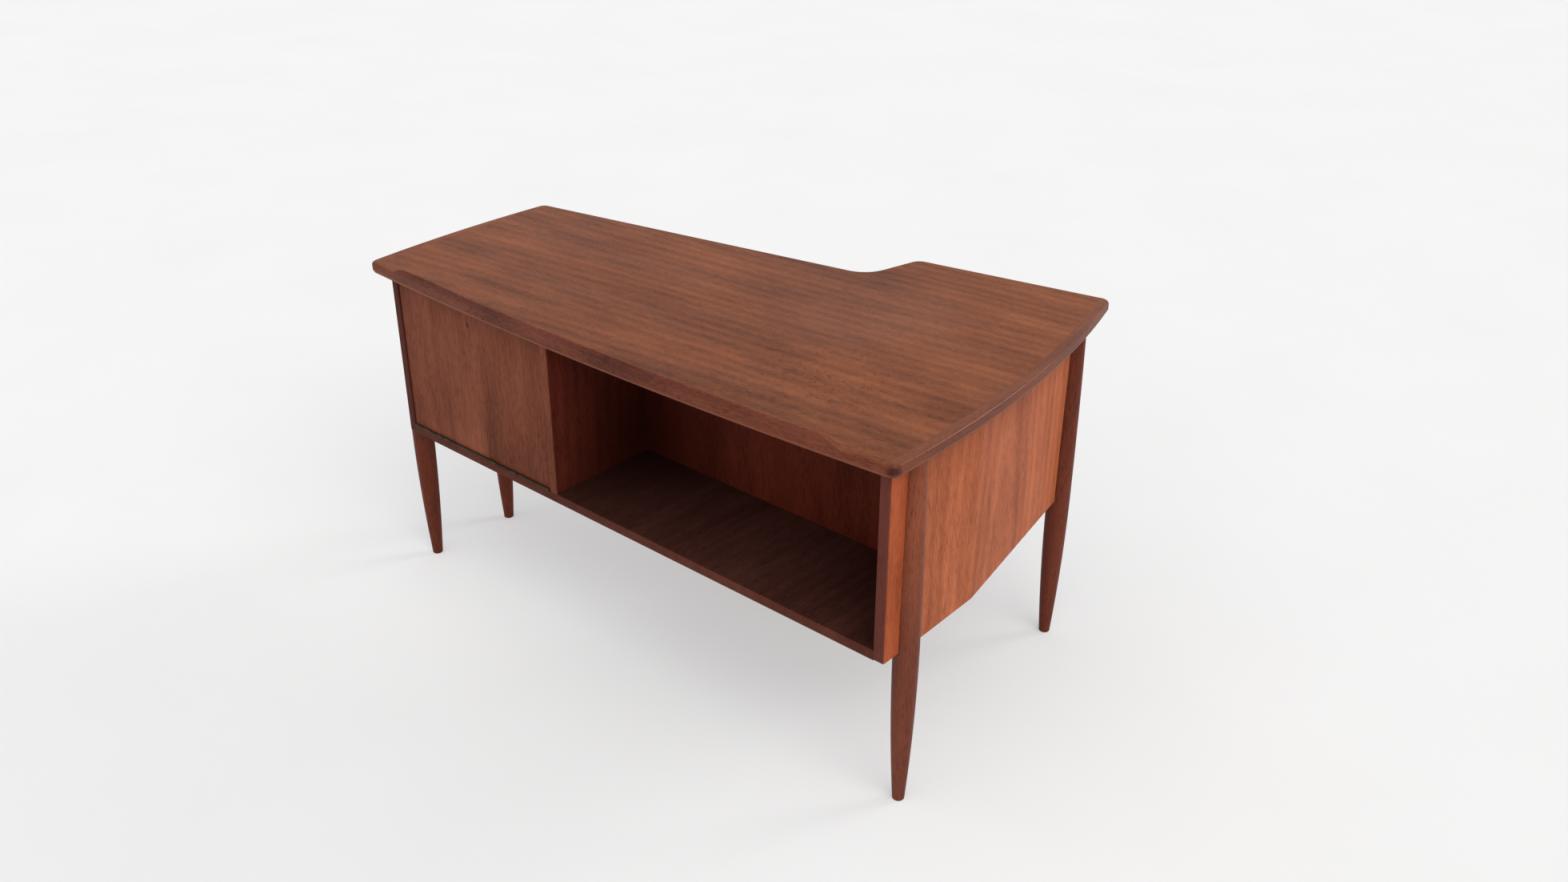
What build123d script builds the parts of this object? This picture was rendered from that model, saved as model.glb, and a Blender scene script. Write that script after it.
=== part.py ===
from build123d import *
import os
from math import acos, atan2, cos, degrees, hypot, radians, sin, tan

# Teak writing desk with an L-shaped bowed top. All sizes are in millimetres, +Z is up.
# The user sits on the -Y side. The visitor side, +Y, has a fall flap and an open bookshelf.
# While the desk is drawn, x = 0 is the middle of the rear box and y = 0 its rear face.
# Every piece is then moved so that the origin is under the middle of the whole desk.

# Top
TOP_HEIGHT = 720.0
TOP_THICKNESS = 22.0
LIPPING_WIDTH = 20.0
EDGE_ROUND = 6.0
EDGE_BEVEL = 6.0
EDGE_BEVEL_INSET = 3.0
TOP_CORNER_RADIUS = 19.0
NOTCH_RADIUS = 60.0
WING_CORNER_RADIUS = 28.0
BACK_OVERHANG = 26.0
BACK_BOW = 24.0
LEFT_BACK_OVERHANG = 32.0
LEFT_FRONT_OVERHANG = 46.0
LEFT_BOW = 11.0
RIGHT_BACK_OVERHANG = 24.0
RIGHT_BOW = 34.0
WING_OUTER_OVERHANG = 25.0
WING_INNER_OVERHANG = 30.0
WING_FRONT_OVERHANG = 55.0
WING_STEP = 127.0
WING_FLARE = 22.8
NOTCH_BLOCK_LENGTH = 75.0

# Raised lip along the rear edge of the top
LIP_HEIGHT = 14.0
LIP_WIDTH = 8.0
LIP_SETBACK = 24.0
LIP_LEFT_RUNOUT = 44.0
LIP_RIGHT_RUNOUT = 62.0
LIP_FADE = 66.0
LIP_DROP = 2.0
LIP_ROOT = 1.0

# Rear box
BODY_WIDTH = 1290.0
BOX_DEPTH = 262.0
LEFT_SIDE_REACH = 8.0
SIDE_THICKNESS = 20.0
SIDE_BOTTOM = 326.0
SIDE_DROP = 3.0
EDGE_STRIP_WIDTH = 45.0
EDGE_STRIP_ROUND = 8.0
EDGE_STRIP_ARRIS = 4.0
BOARD_THICKNESS = 19.0
CARCASS_TOP_THICKNESS = 16.0
KNEE_PANEL_THICKNESS = 10.0
DIVIDER_THICKNESS = 20.0
BOOKSHELF_WIDTH = 786.0

# Drawer pedestal, turned about the vertical crease where its outer side meets the rear box
PEDESTAL_ANGLE = 9.3
PEDESTAL_DEPTH = 482.0
PEDESTAL_WIDTH = 360.0

# Legs
LEG_TOP_RADIUS = 19.0
LEG_MAX_RADIUS = 23.0
LEG_FOOT_RADIUS = 11.0
LEG_FOOT_ROUND = 2.0
LEFT_LEG_INSET = 30.0
RIGHT_LEG_INSET = 66.0
PEDESTAL_LEG_INSET = 57.0
LEG_SCREW_LENGTH = 34.0
LEG_SCREW_RADIUS = 2.5
LEG_SCREW_DROPS = (70.0, 290.0)

# Screws that hold the top down
TOP_SCREW_LENGTH = 28.0
TOP_SCREW_RADIUS = 2.2
TOP_SCREW_COLUMNS = 4
TOP_SCREW_EDGE = 60.0

# Fall flap
FLAP_THICKNESS = 18.0
FLAP_RECESS = 3.0
FLAP_GAP = 1.5

# Long hinge
KNUCKLE_RADIUS = 3.0
HINGE_PIN_RADIUS = 1.3
HINGE_PIN_CLEARANCE = 0.06
HINGE_LEAF_THICKNESS = 1.2
HINGE_LEAF_GAP = 0.6
HINGE_LEAF_WIDTH = 15.0
HINGE_WEB_OVERLAP = 0.3
KNUCKLE_COUNT = 17
KNUCKLE_GAP = 0.3
KNUCKLE_CLEARANCE = 0.4
HINGE_SCREW_COUNT = 6
HINGE_SCREW_LENGTH = 14.0
HINGE_SCREW_RADIUS = 1.4

# Lock
LOCK_WIDTH = 46.0
LOCK_HEIGHT = 52.0
LOCK_DEPTH = 11.0
BOLT_WIDTH = 14.0
BOLT_THICKNESS = 6.0
BOLT_LENGTH = 42.0
BOLT_SETBACK = 0.5
BOLT_TRAVEL = 8.0
BOLT_CLEARANCE = 0.3
KEYHOLE_DROP = 31.5
KEYHOLE_HEIGHT = 12.0
KEYHOLE_HEAD_RADIUS = 2.4
KEYHOLE_SLOT = 2.6
STRIKE_LENGTH = 40.0
STRIKE_WIDTH = 14.0
STRIKE_THICKNESS = 2.0
STRIKE_CLEARANCE = 1.0

# Flap stay
STAY_BACK_GAP = 10.0
STAY_SPREAD = 20.0
FLAP_OPENING = 90.0
STAY_OFFSET = 8.0
STAY_WALL_GAP = 13.0
STAY_ROD_RADIUS = 3.0
STAY_ROD_CLEARANCE = 0.3
STAY_ROD_SPARE = 15.0
STAY_EYE_RADIUS = 6.0
STAY_EYE_WIDTH = 8.0
STAY_PIVOT_RADIUS = 2.0
STAY_PIVOT_CLEARANCE = 0.06
STAY_PIN_HEAD_RADIUS = 3.2
STAY_PIN_HEAD_THICKNESS = 1.2
STAY_KNOB_RADIUS = 4.5
STAY_KNOB_LENGTH = 4.0
SWIVEL_RADIUS = 8.0
SWIVEL_WIDTH = 12.0
SWIVEL_SPIGOT_RADIUS = 3.0
WALL_PLATE_THICKNESS = 6.0
WALL_PLATE_WIDTH = 20.0
WALL_PLATE_HEIGHT = 46.0
WALL_PLATE_ROUND = 5.0
WALL_SCREW_RISE = 18.0
BRACKET_THICKNESS = 2.0
BRACKET_WIDTH = 26.0
BRACKET_HEIGHT = 34.0
BRACKET_LUG_THICKNESS = 3.0
BRACKET_SCREW_EDGE = 6.5
BRACKET_SCREW_RISE = 9.0
STAY_SIDE_GAP = 0.5
STAY_SCREW_LENGTH = 14.0
STAY_SCREW_RADIUS = 1.6

# Drawers
DRAWER_COUNT = 3
DRAWER_GAP = 2.0
DRAWER_FRONT_THICKNESS = 18.0
DRAWER_FRONT_SETBACK = 2.0
DRAWER_FRONT_SIDE_GAP = 1.5
DRAWER_SIDE_THICKNESS = 12.0
DRAWER_SIDE_CLEARANCE = 2.5
DRAWER_SIDE_LAP = 10.0
DRAWER_SIDE_DROP = 11.0
DRAWER_SIDE_LIFT = 8.0
DRAWER_BACK_THICKNESS = 12.0
DRAWER_BACK_DROP = 4.0
DRAWER_BOTTOM_THICKNESS = 5.0
DRAWER_BOTTOM_LIFT = 6.0
DRAWER_BOTTOM_GROOVE = 5.0
DRAWER_REAR_GAP = 20.0
RUNNER_HEIGHT = 10.0
RUNNER_BITE = 6.0
RUNNER_CLEARANCE = 0.4
RUNNER_END_GAP = 8.0
PULL_LENGTH = 120.0
PULL_DEPTH = 22.0
PULL_HEIGHT = 15.0
PULL_SCOOP_DEPTH = 9.0
PULL_SCOOP_INSET = 7.0
PULL_SCOOP_SETBACK = 5.0
PULL_ROUND = 2.5

# Room left outside a cutting shape so that it passes clean through
PAST = 60.0

# Values worked out from the sizes above
half_body = BODY_WIDTH / 2
inner_half = half_body - SIDE_THICKNESS
top_under = TOP_HEIGHT - TOP_THICKNESS
board_bottom = SIDE_BOTTOM + SIDE_DROP
board_top = board_bottom + BOARD_THICKNESS
ceiling = top_under - CARCASS_TOP_THICKNESS
box_inner_depth = BOX_DEPTH - KNEE_PANEL_THICKNESS
left_side_depth = BOX_DEPTH + LEFT_SIDE_REACH
divider_right = BOOKSHELF_WIDTH - inner_half
divider_left = divider_right + DIVIDER_THICKNESS
turn = radians(PEDESTAL_ANGLE)
opening_outer = SIDE_THICKNESS
opening_inner = PEDESTAL_WIDTH - SIDE_THICKNESS
pedestal_place = Location((-half_body, -BOX_DEPTH, 0), (0, 0, PEDESTAL_ANGLE))


def slab(x0, x1, y0, y1, z0, z1):
    """Box between two corners."""
    return Pos((x0 + x1) / 2, (y0 + y1) / 2, (z0 + z1) / 2) * Box(x1 - x0, y1 - y0, z1 - z0)


def prism(points, z0, z1):
    """Upright prism over a closed plan polygon."""
    return Pos(0, 0, z0) * extrude(make_face(Polyline(*points, close=True)), z1 - z0)


def rod_between(start, end, radius):
    """Round rod from one point to another."""
    axis = Vector(*end) - Vector(*start)
    place = Plane(origin=start, z_dir=axis)
    return place * Cylinder(radius, axis.length, align=(Align.CENTER, Align.CENTER, Align.MIN))


def group(solids):
    """Several separate solids as one node."""
    return Compound([s.solid() for s in solids])


def countersunk_screw(head_at, outward, length, radius):
    """Countersunk wood screw whose flat head lies at head_at, facing outward."""
    head = 2 * radius
    tip = 2 * radius
    points = [(0, 0), (head, 0), (radius, radius - head), (radius, tip - length), (0, -length)]
    body = revolve(Plane.XZ * make_face(Polyline(*points, close=True)), Axis.Z)
    return Plane(origin=head_at, z_dir=outward) * body


def pedestal_point(across, depth):
    """Plan point given across the pedestal and towards the user from the crease."""
    x = -half_body + across * cos(turn) + depth * sin(turn)
    y = -BOX_DEPTH + across * sin(turn) - depth * cos(turn)
    return (x, y)


def bowed_edge(start, end, bow):
    """Arc that stands out by bow to the right of the way from start to end."""
    dx, dy = end[0] - start[0], end[1] - start[1]
    length = hypot(dx, dy)
    middle = ((start[0] + end[0]) / 2 + bow * dy / length, (start[1] + end[1]) / 2 - bow * dx / length)
    return ThreePointArc(start, middle, end)


# Corners of the top before rounding, counter-clockwise seen from above
wing_front_depth = PEDESTAL_DEPTH + WING_FRONT_OVERHANG
wing_inner_across = PEDESTAL_WIDTH + WING_INNER_OVERHANG
notch_across = wing_inner_across + WING_STEP * tan(radians(WING_FLARE))
corner_back_left = (half_body + LEFT_BACK_OVERHANG, BACK_OVERHANG)
corner_back_right = (-half_body - RIGHT_BACK_OVERHANG, BACK_OVERHANG)
corner_wing_outer = pedestal_point(-WING_OUTER_OVERHANG, wing_front_depth)
corner_wing_inner = pedestal_point(wing_inner_across, wing_front_depth)
corner_notch = pedestal_point(notch_across, wing_front_depth - WING_STEP)
front_left_x = half_body + LEFT_FRONT_OVERHANG
corner_front_left = (front_left_x, corner_notch[1] + (front_left_x - corner_notch[0]) * tan(turn))


def nearest(vertices, point):
    """The vertex closest to a plan point."""
    return min(vertices, key=lambda v: hypot(v.X - point[0], v.Y - point[1]))


def top_outline():
    """Plan face of the top: three bowed edges, a straight front with a notch, rounded corners."""
    edges = [
        bowed_edge(corner_back_left, corner_back_right, BACK_BOW),
        bowed_edge(corner_back_right, corner_wing_outer, RIGHT_BOW),
        Polyline(corner_wing_outer, corner_wing_inner, corner_notch, corner_front_left),
        bowed_edge(corner_front_left, corner_back_left, LEFT_BOW),
    ]
    face = make_face(edges)
    radii = [
        (corner_back_left, TOP_CORNER_RADIUS),
        (corner_back_right, TOP_CORNER_RADIUS),
        (corner_wing_outer, TOP_CORNER_RADIUS),
        (corner_wing_inner, WING_CORNER_RADIUS),
        (corner_notch, NOTCH_RADIUS),
        (corner_front_left, TOP_CORNER_RADIUS),
    ]
    for corner, radius in radii:
        face = fillet(nearest(face.vertices(), corner), radius)
    return face


def toward(start, end):
    """Unit vector from one plan point to another."""
    length = hypot(end[0] - start[0], end[1] - start[1])
    return ((end[0] - start[0]) / length, (end[1] - start[1]) / length)


def along(point, direction, distance):
    """Plan point at a distance along a direction."""
    return (point[0] + distance * direction[0], point[1] + distance * direction[1])


def joint_line(corner, inward):
    """Ends of a cut through the lipping: well outside and well inside the edge."""
    return along(corner, inward, -2 * PAST), along(corner, inward, PAST)


def mitre_line(corner, before, after):
    """The cut that halves the angle at a corner."""
    a = toward(corner, before)
    b = toward(corner, after)
    return joint_line(corner, toward((0, 0), (a[0] + b[0], a[1] + b[1])))


def lipping_sectors():
    """Plan polygons that part the edge band into its lippings."""
    back_left = mitre_line(corner_back_left, corner_front_left, corner_back_right)
    back_right = mitre_line(corner_back_right, corner_back_left, corner_wing_outer)
    wing_outer = mitre_line(corner_wing_outer, corner_back_right, corner_wing_inner)
    wing_inner = mitre_line(corner_wing_inner, corner_wing_outer, corner_notch)
    front_left = mitre_line(corner_front_left, corner_notch, corner_back_left)
    inside, outside = mitre_line(corner_notch, corner_wing_inner, corner_front_left)
    front_way = toward(corner_notch, corner_front_left)
    butt = joint_line(along(corner_notch, front_way, NOTCH_BLOCK_LENGTH), (-front_way[1], front_way[0]))
    return {
        "lipping_back": [back_left[0], back_right[0], back_right[1], back_left[1]],
        "lipping_right": [back_right[0], wing_outer[0], wing_outer[1], back_right[1]],
        "lipping_wing_front": [wing_outer[0], wing_inner[0], wing_inner[1], wing_outer[1]],
        "lipping_notch": [wing_inner[0], outside, butt[0], butt[1], inside, wing_inner[1]],
        "lipping_front": [butt[0], front_left[0], front_left[1], butt[1]],
        "lipping_left": [front_left[0], back_left[0], back_left[1], front_left[1]],
    }


def raised_lip():
    """Raised lip over the rear edge, coved on the user side, swept down and run out near both corners."""
    chord = corner_back_left[0] - corner_back_right[0]
    radius = (chord * chord / 4 + BACK_BOW * BACK_BOW) / (2 * BACK_BOW)
    middle_x = (corner_back_left[0] + corner_back_right[0]) / 2
    centre_y = BACK_OVERHANG + BACK_BOW - radius
    foot = TOP_HEIGHT - EDGE_ROUND - LIP_ROOT
    crest = TOP_HEIGHT + LIP_HEIGHT
    ledge = TOP_HEIGHT - LIP_DROP
    inner = radius - LIPPING_WIDTH
    shoulder = crest - LIP_WIDTH / 2
    section = make_face([
        Line((inner, foot), (radius, foot)),
        Line((radius, foot), (radius, shoulder)),
        ThreePointArc((radius, shoulder), (radius - LIP_WIDTH / 2, crest), (radius - LIP_WIDTH, shoulder)),
        TangentArc((inner, TOP_HEIGHT), (radius - LIP_WIDTH, shoulder), tangent=(1, 0)),
        Line((inner, TOP_HEIGHT), (inner, foot)),
    ])
    reach = chord / 2 - LIP_SETBACK
    half_turn = degrees(atan2(reach, radius))
    axis = Axis((middle_x, centre_y, 0), (0, 0, 1))
    place = Plane(origin=(middle_x, centre_y, 0), x_dir=(0, 1, 0), z_dir=(1, 0, 0))
    lip = revolve(place * section, axis, revolution_arc=2 * half_turn).rotate(axis, -half_turn)
    for side, runout in ((1, LIP_LEFT_RUNOUT), (-1, LIP_RIGHT_RUNOUT)):
        end = middle_x + side * reach
        level = end - side * runout
        full = level - side * LIP_FADE
        half_way = (full + level) / 2
        run_middle = (level + end) / 2
        past_end = end + side * PAST
        above = crest + PAST
        over = make_face([
            Bezier((full, crest), (half_way, crest), (half_way, ledge), (level, ledge)),
            Bezier((level, ledge), (run_middle, ledge), (end, foot)),
            Polyline((end, foot), (past_end, foot), (past_end, above), (full, above), (full, crest)),
        ])
        lip -= extrude(Plane.XZ * over, PAST * 2, both=True)
    return lip


def top_pieces():
    """Veneered top panel and the solid lippings round it."""
    outline = top_outline()
    blank = Pos(0, 0, top_under) * extrude(outline, TOP_THICKNESS)
    blank = fillet(blank.faces().sort_by(Axis.Z)[-1].edges(), EDGE_ROUND)
    under = blank.faces().sort_by(Axis.Z)[0]
    blank = chamfer(under.edges(), EDGE_BEVEL_INSET, EDGE_BEVEL, reference=under)
    core = Pos(0, 0, top_under) * extrude(offset(outline, -LIPPING_WIDTH), TOP_THICKNESS)
    band = blank - core
    pieces = {"top_panel": core}
    for name, sector in lipping_sectors().items():
        pieces[name] = band & prism(sector, top_under - PAST, TOP_HEIGHT + PAST)
    pieces["lipping_back"] += raised_lip()
    return pieces


def rear_box():
    """Boards of the rear box, without holes."""
    mitre = pedestal_point(SIDE_THICKNESS, SIDE_THICKNESS * tan(turn / 2))
    crease = pedestal_point(0, 0)
    right = [(-half_body, -EDGE_STRIP_WIDTH), crease, mitre, (-inner_half, -EDGE_STRIP_WIDTH)]
    outer = [crease, mitre, pedestal_point(SIDE_THICKNESS, PEDESTAL_DEPTH), pedestal_point(0, PEDESTAL_DEPTH)]
    pedestal_outer_side = prism(outer, SIDE_BOTTOM, top_under)
    knee_panel = slab(-inner_half, inner_half, -BOX_DEPTH, -box_inner_depth, board_bottom, top_under)
    strip = slab(inner_half, half_body, -EDGE_STRIP_WIDTH, 0, SIDE_BOTTOM, top_under)
    lower_edge = strip.edges().filter_by(Axis.X).sort_by(lambda e: e.center().Y - e.center().Z)[-1]
    strip = fillet(lower_edge, EDGE_STRIP_ROUND)
    arris = strip.edges().filter_by(Axis.Z).sort_by(lambda e: e.center().X + e.center().Y)[-1]
    strip = fillet(arris, EDGE_STRIP_ARRIS)
    return {
        "left_side": slab(inner_half, half_body, -left_side_depth, -EDGE_STRIP_WIDTH, SIDE_BOTTOM, top_under),
        "left_edge_strip": strip,
        "right_side": prism(right, SIDE_BOTTOM, top_under),
        "right_edge_strip": mirror(strip, Plane.YZ),
        "bottom_board": slab(-inner_half, inner_half, -box_inner_depth, 0, board_bottom, board_top),
        "carcass_top": slab(-inner_half, inner_half, -box_inner_depth, 0, ceiling, top_under),
        "divider": slab(divider_right, divider_left, -box_inner_depth, 0, board_top, ceiling),
        "knee_panel": knee_panel - pedestal_outer_side,
        "pedestal_outer_side": pedestal_outer_side,
    }


def pedestal_plan(across_0, across_1):
    """Plan of a pedestal board between two lines, fitted to the knee panel at the back."""
    return [
        pedestal_point(across_0, across_0 * tan(turn)),
        pedestal_point(across_1, across_1 * tan(turn)),
        pedestal_point(across_1, PEDESTAL_DEPTH),
        pedestal_point(across_0, PEDESTAL_DEPTH),
    ]


def pedestal():
    """Inner side, bottom and sub-top of the drawer pedestal."""
    between = pedestal_plan(opening_outer, opening_inner)
    inner_side = pedestal_plan(opening_inner, PEDESTAL_WIDTH)
    return {
        "pedestal_inner_side": prism(inner_side, SIDE_BOTTOM, top_under),
        "pedestal_bottom": prism(between, board_bottom, board_top),
        "pedestal_top": prism(between, ceiling, top_under),
    }


leg_places = {
    "leg_back_left": Location((half_body, -LEFT_LEG_INSET, 0)),
    "leg_front_left": Location((half_body, LEFT_LEG_INSET - left_side_depth, 0)),
    "leg_back_right": Location((-half_body, -RIGHT_LEG_INSET, 0), (0, 0, 180)),
    "leg_front_right": Location(
        (*pedestal_point(0, PEDESTAL_DEPTH - PEDESTAL_LEG_INSET), 0), (0, 0, 180 + PEDESTAL_ANGLE)
    ),
}


def leg():
    """Cigar-shaped leg, half round above where it laps the side, which lies at x below 0."""
    outline = make_face([
        Line((0, 0), (LEG_FOOT_RADIUS, 0)),
        TangentArc((LEG_MAX_RADIUS, SIDE_BOTTOM), (LEG_FOOT_RADIUS, 0), tangent=(0, -1)),
        TangentArc((LEG_MAX_RADIUS, SIDE_BOTTOM), (LEG_TOP_RADIUS, top_under), tangent=(0, 1)),
        Line((LEG_TOP_RADIUS, top_under), (0, top_under)),
        Line((0, top_under), (0, 0)),
    ])
    body = revolve(Plane.XZ * outline, Axis.Z)
    body = fillet(body.edges().sort_by(lambda e: e.center().Z)[0], LEG_FOOT_ROUND)
    room = 2 * LEG_MAX_RADIUS
    return body - slab(-room, 0, -room, room, SIDE_BOTTOM, top_under + room)


def leg_screws():
    """Screws for one leg, driven from the inner face of the side."""
    heads = [(-SIDE_THICKNESS, 0, top_under - drop) for drop in LEG_SCREW_DROPS]
    return [countersunk_screw(head, (-1, 0, 0), LEG_SCREW_LENGTH, LEG_SCREW_RADIUS) for head in heads]


def top_screws():
    """Screws up through the carcass top and the pedestal's sub-top into the top panel."""
    first = TOP_SCREW_EDGE - inner_half
    pitch = -2 * first / (TOP_SCREW_COLUMNS - 1)
    rows = (-TOP_SCREW_EDGE, TOP_SCREW_EDGE - box_inner_depth)
    spots = [(first + i * pitch, y) for i in range(TOP_SCREW_COLUMNS) for y in rows]
    columns = (opening_outer + TOP_SCREW_EDGE, opening_inner - TOP_SCREW_EDGE)
    depths = (2 * TOP_SCREW_EDGE, PEDESTAL_DEPTH - TOP_SCREW_EDGE)
    spots += [pedestal_point(across, depth) for across in columns for depth in depths]
    heads = [(x, y, ceiling) for x, y in spots]
    return [countersunk_screw(head, (0, 0, -1), TOP_SCREW_LENGTH, TOP_SCREW_RADIUS) for head in heads]


# Places of the fall flap, its hinge and its lock
flap_right = divider_left + FLAP_GAP
flap_left = inner_half - FLAP_GAP
flap_middle = (flap_right + flap_left) / 2
flap_face = -FLAP_RECESS
flap_back = flap_face - FLAP_THICKNESS
flap_top = ceiling - FLAP_GAP
hinge_y = flap_face + KNUCKLE_RADIUS
hinge_z = board_top + HINGE_LEAF_THICKNESS + HINGE_LEAF_GAP / 2
flap_bottom = hinge_z + HINGE_LEAF_GAP / 2 + HINGE_LEAF_THICKNESS
hinge_swing = KNUCKLE_RADIUS + KNUCKLE_CLEARANCE
lock_middle = flap_back + LOCK_DEPTH / 2
bolt_top = flap_top - BOLT_SETBACK
bolt_bottom = bolt_top - BOLT_LENGTH


def hinge_tube(x0, x1, radius):
    """Round bar on the hinge axis."""
    return rod_between((x0, hinge_y, hinge_z), (x1, hinge_y, hinge_z), radius)


def hinge_leaf(z0, z1, first, bore):
    """Leaf between two heights, with every second knuckle from the first one on."""
    leaf_edge = hinge_y - hinge_swing
    leaf = slab(flap_right, flap_left, hinge_y - HINGE_LEAF_WIDTH, leaf_edge, z0, z1)
    pitch = (flap_left - flap_right) / KNUCKLE_COUNT
    web_end = hinge_y - bore - HINGE_WEB_OVERLAP
    for i in range(first, KNUCKLE_COUNT, 2):
        x0 = flap_right + i * pitch + KNUCKLE_GAP / 2
        x1 = x0 + pitch - KNUCKLE_GAP
        knuckle = hinge_tube(x0, x1, KNUCKLE_RADIUS) + slab(x0, x1, leaf_edge, web_end, z0, z1)
        leaf += knuckle
    return leaf - hinge_tube(flap_right - PAST, flap_left + PAST, bore)


def hinge_screws(head_z, facing):
    """Row of screws through one leaf."""
    pitch = (flap_left - flap_right) / HINGE_SCREW_COUNT
    y = hinge_y - (hinge_swing + HINGE_LEAF_WIDTH) / 2
    heads = [(flap_right + (i + 0.5) * pitch, y, head_z) for i in range(HINGE_SCREW_COUNT)]
    return [countersunk_screw(head, (0, 0, facing), HINGE_SCREW_LENGTH, HINGE_SCREW_RADIUS) for head in heads]


def keyhole():
    """Keyhole through the front of the flap and of the lock case, as far as the bolt."""
    top = flap_top - KEYHOLE_DROP
    head_z = top - KEYHOLE_HEAD_RADIUS
    head = rod_between((flap_middle, PAST, head_z), (flap_middle, lock_middle, head_z), KEYHOLE_HEAD_RADIUS)
    half = KEYHOLE_SLOT / 2
    slot = slab(flap_middle - half, flap_middle + half, lock_middle, PAST, top - KEYHOLE_HEIGHT, head_z)
    return head + slot


def bolt_block(margin, z0, z1):
    """Upright block as wide and thick as the bolt, plus a margin all round."""
    block = Box(BOLT_WIDTH + 2 * margin, BOLT_THICKNESS + 2 * margin, z1 - z0)
    return Pos(flap_middle, lock_middle, (z0 + z1) / 2) * block


def lock():
    """Case let into the flap, bolt that slides up out of it, strike plate in the carcass top."""
    case = Box(LOCK_WIDTH, LOCK_DEPTH, LOCK_HEIGHT)
    case = Pos(flap_middle, lock_middle, flap_top - LOCK_HEIGHT / 2) * case
    channel = bolt_block(BOLT_CLEARANCE, bolt_bottom - BOLT_CLEARANCE, flap_top)
    strike_middle = ceiling + STRIKE_THICKNESS / 2
    strike = Pos(flap_middle, lock_middle, strike_middle) * Box(STRIKE_LENGTH, STRIKE_WIDTH, STRIKE_THICKNESS)
    mortise = bolt_block(STRIKE_CLEARANCE, ceiling, ceiling + BOLT_TRAVEL + STRIKE_CLEARANCE)
    return {
        "pocket": case,
        "case": case - channel - keyhole(),
        "bolt": bolt_block(0, bolt_bottom, bolt_top),
        "strike_recess": strike + mortise,
        "strike": strike - mortise,
    }


# Flap stay: two pivots at the same reach from the hinge, so the rod turns half as far as the flap
stay_x = inner_half - STAY_WALL_GAP
stay_flap_u = hinge_y - flap_back + BRACKET_THICKNESS + STAY_OFFSET
stay_rod_length = box_inner_depth - stay_flap_u - STAY_BACK_GAP
stay_reach = (stay_rod_length - STAY_ROD_SPARE) / 2 / sin(radians(STAY_SPREAD + FLAP_OPENING) / 2)
stay_flap_angle = acos(stay_flap_u / stay_reach)
stay_wall_angle = stay_flap_angle - radians(STAY_SPREAD)


def stay_point(angle, x):
    """Point at the stay's reach from the hinge axis, at an angle up from the cupboard floor."""
    return (x, hinge_y - stay_reach * cos(angle), hinge_z + stay_reach * sin(angle))


def along_x(point, x0, x1, radius):
    """Round bar along X through a point."""
    return rod_between((x0, point[1], point[2]), (x1, point[1], point[2]), radius)


def stay_screws(heads, outward):
    """Screws of the stay's wall plate or bracket."""
    return [countersunk_screw(head, outward, STAY_SCREW_LENGTH, STAY_SCREW_RADIUS) for head in heads]


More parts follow.
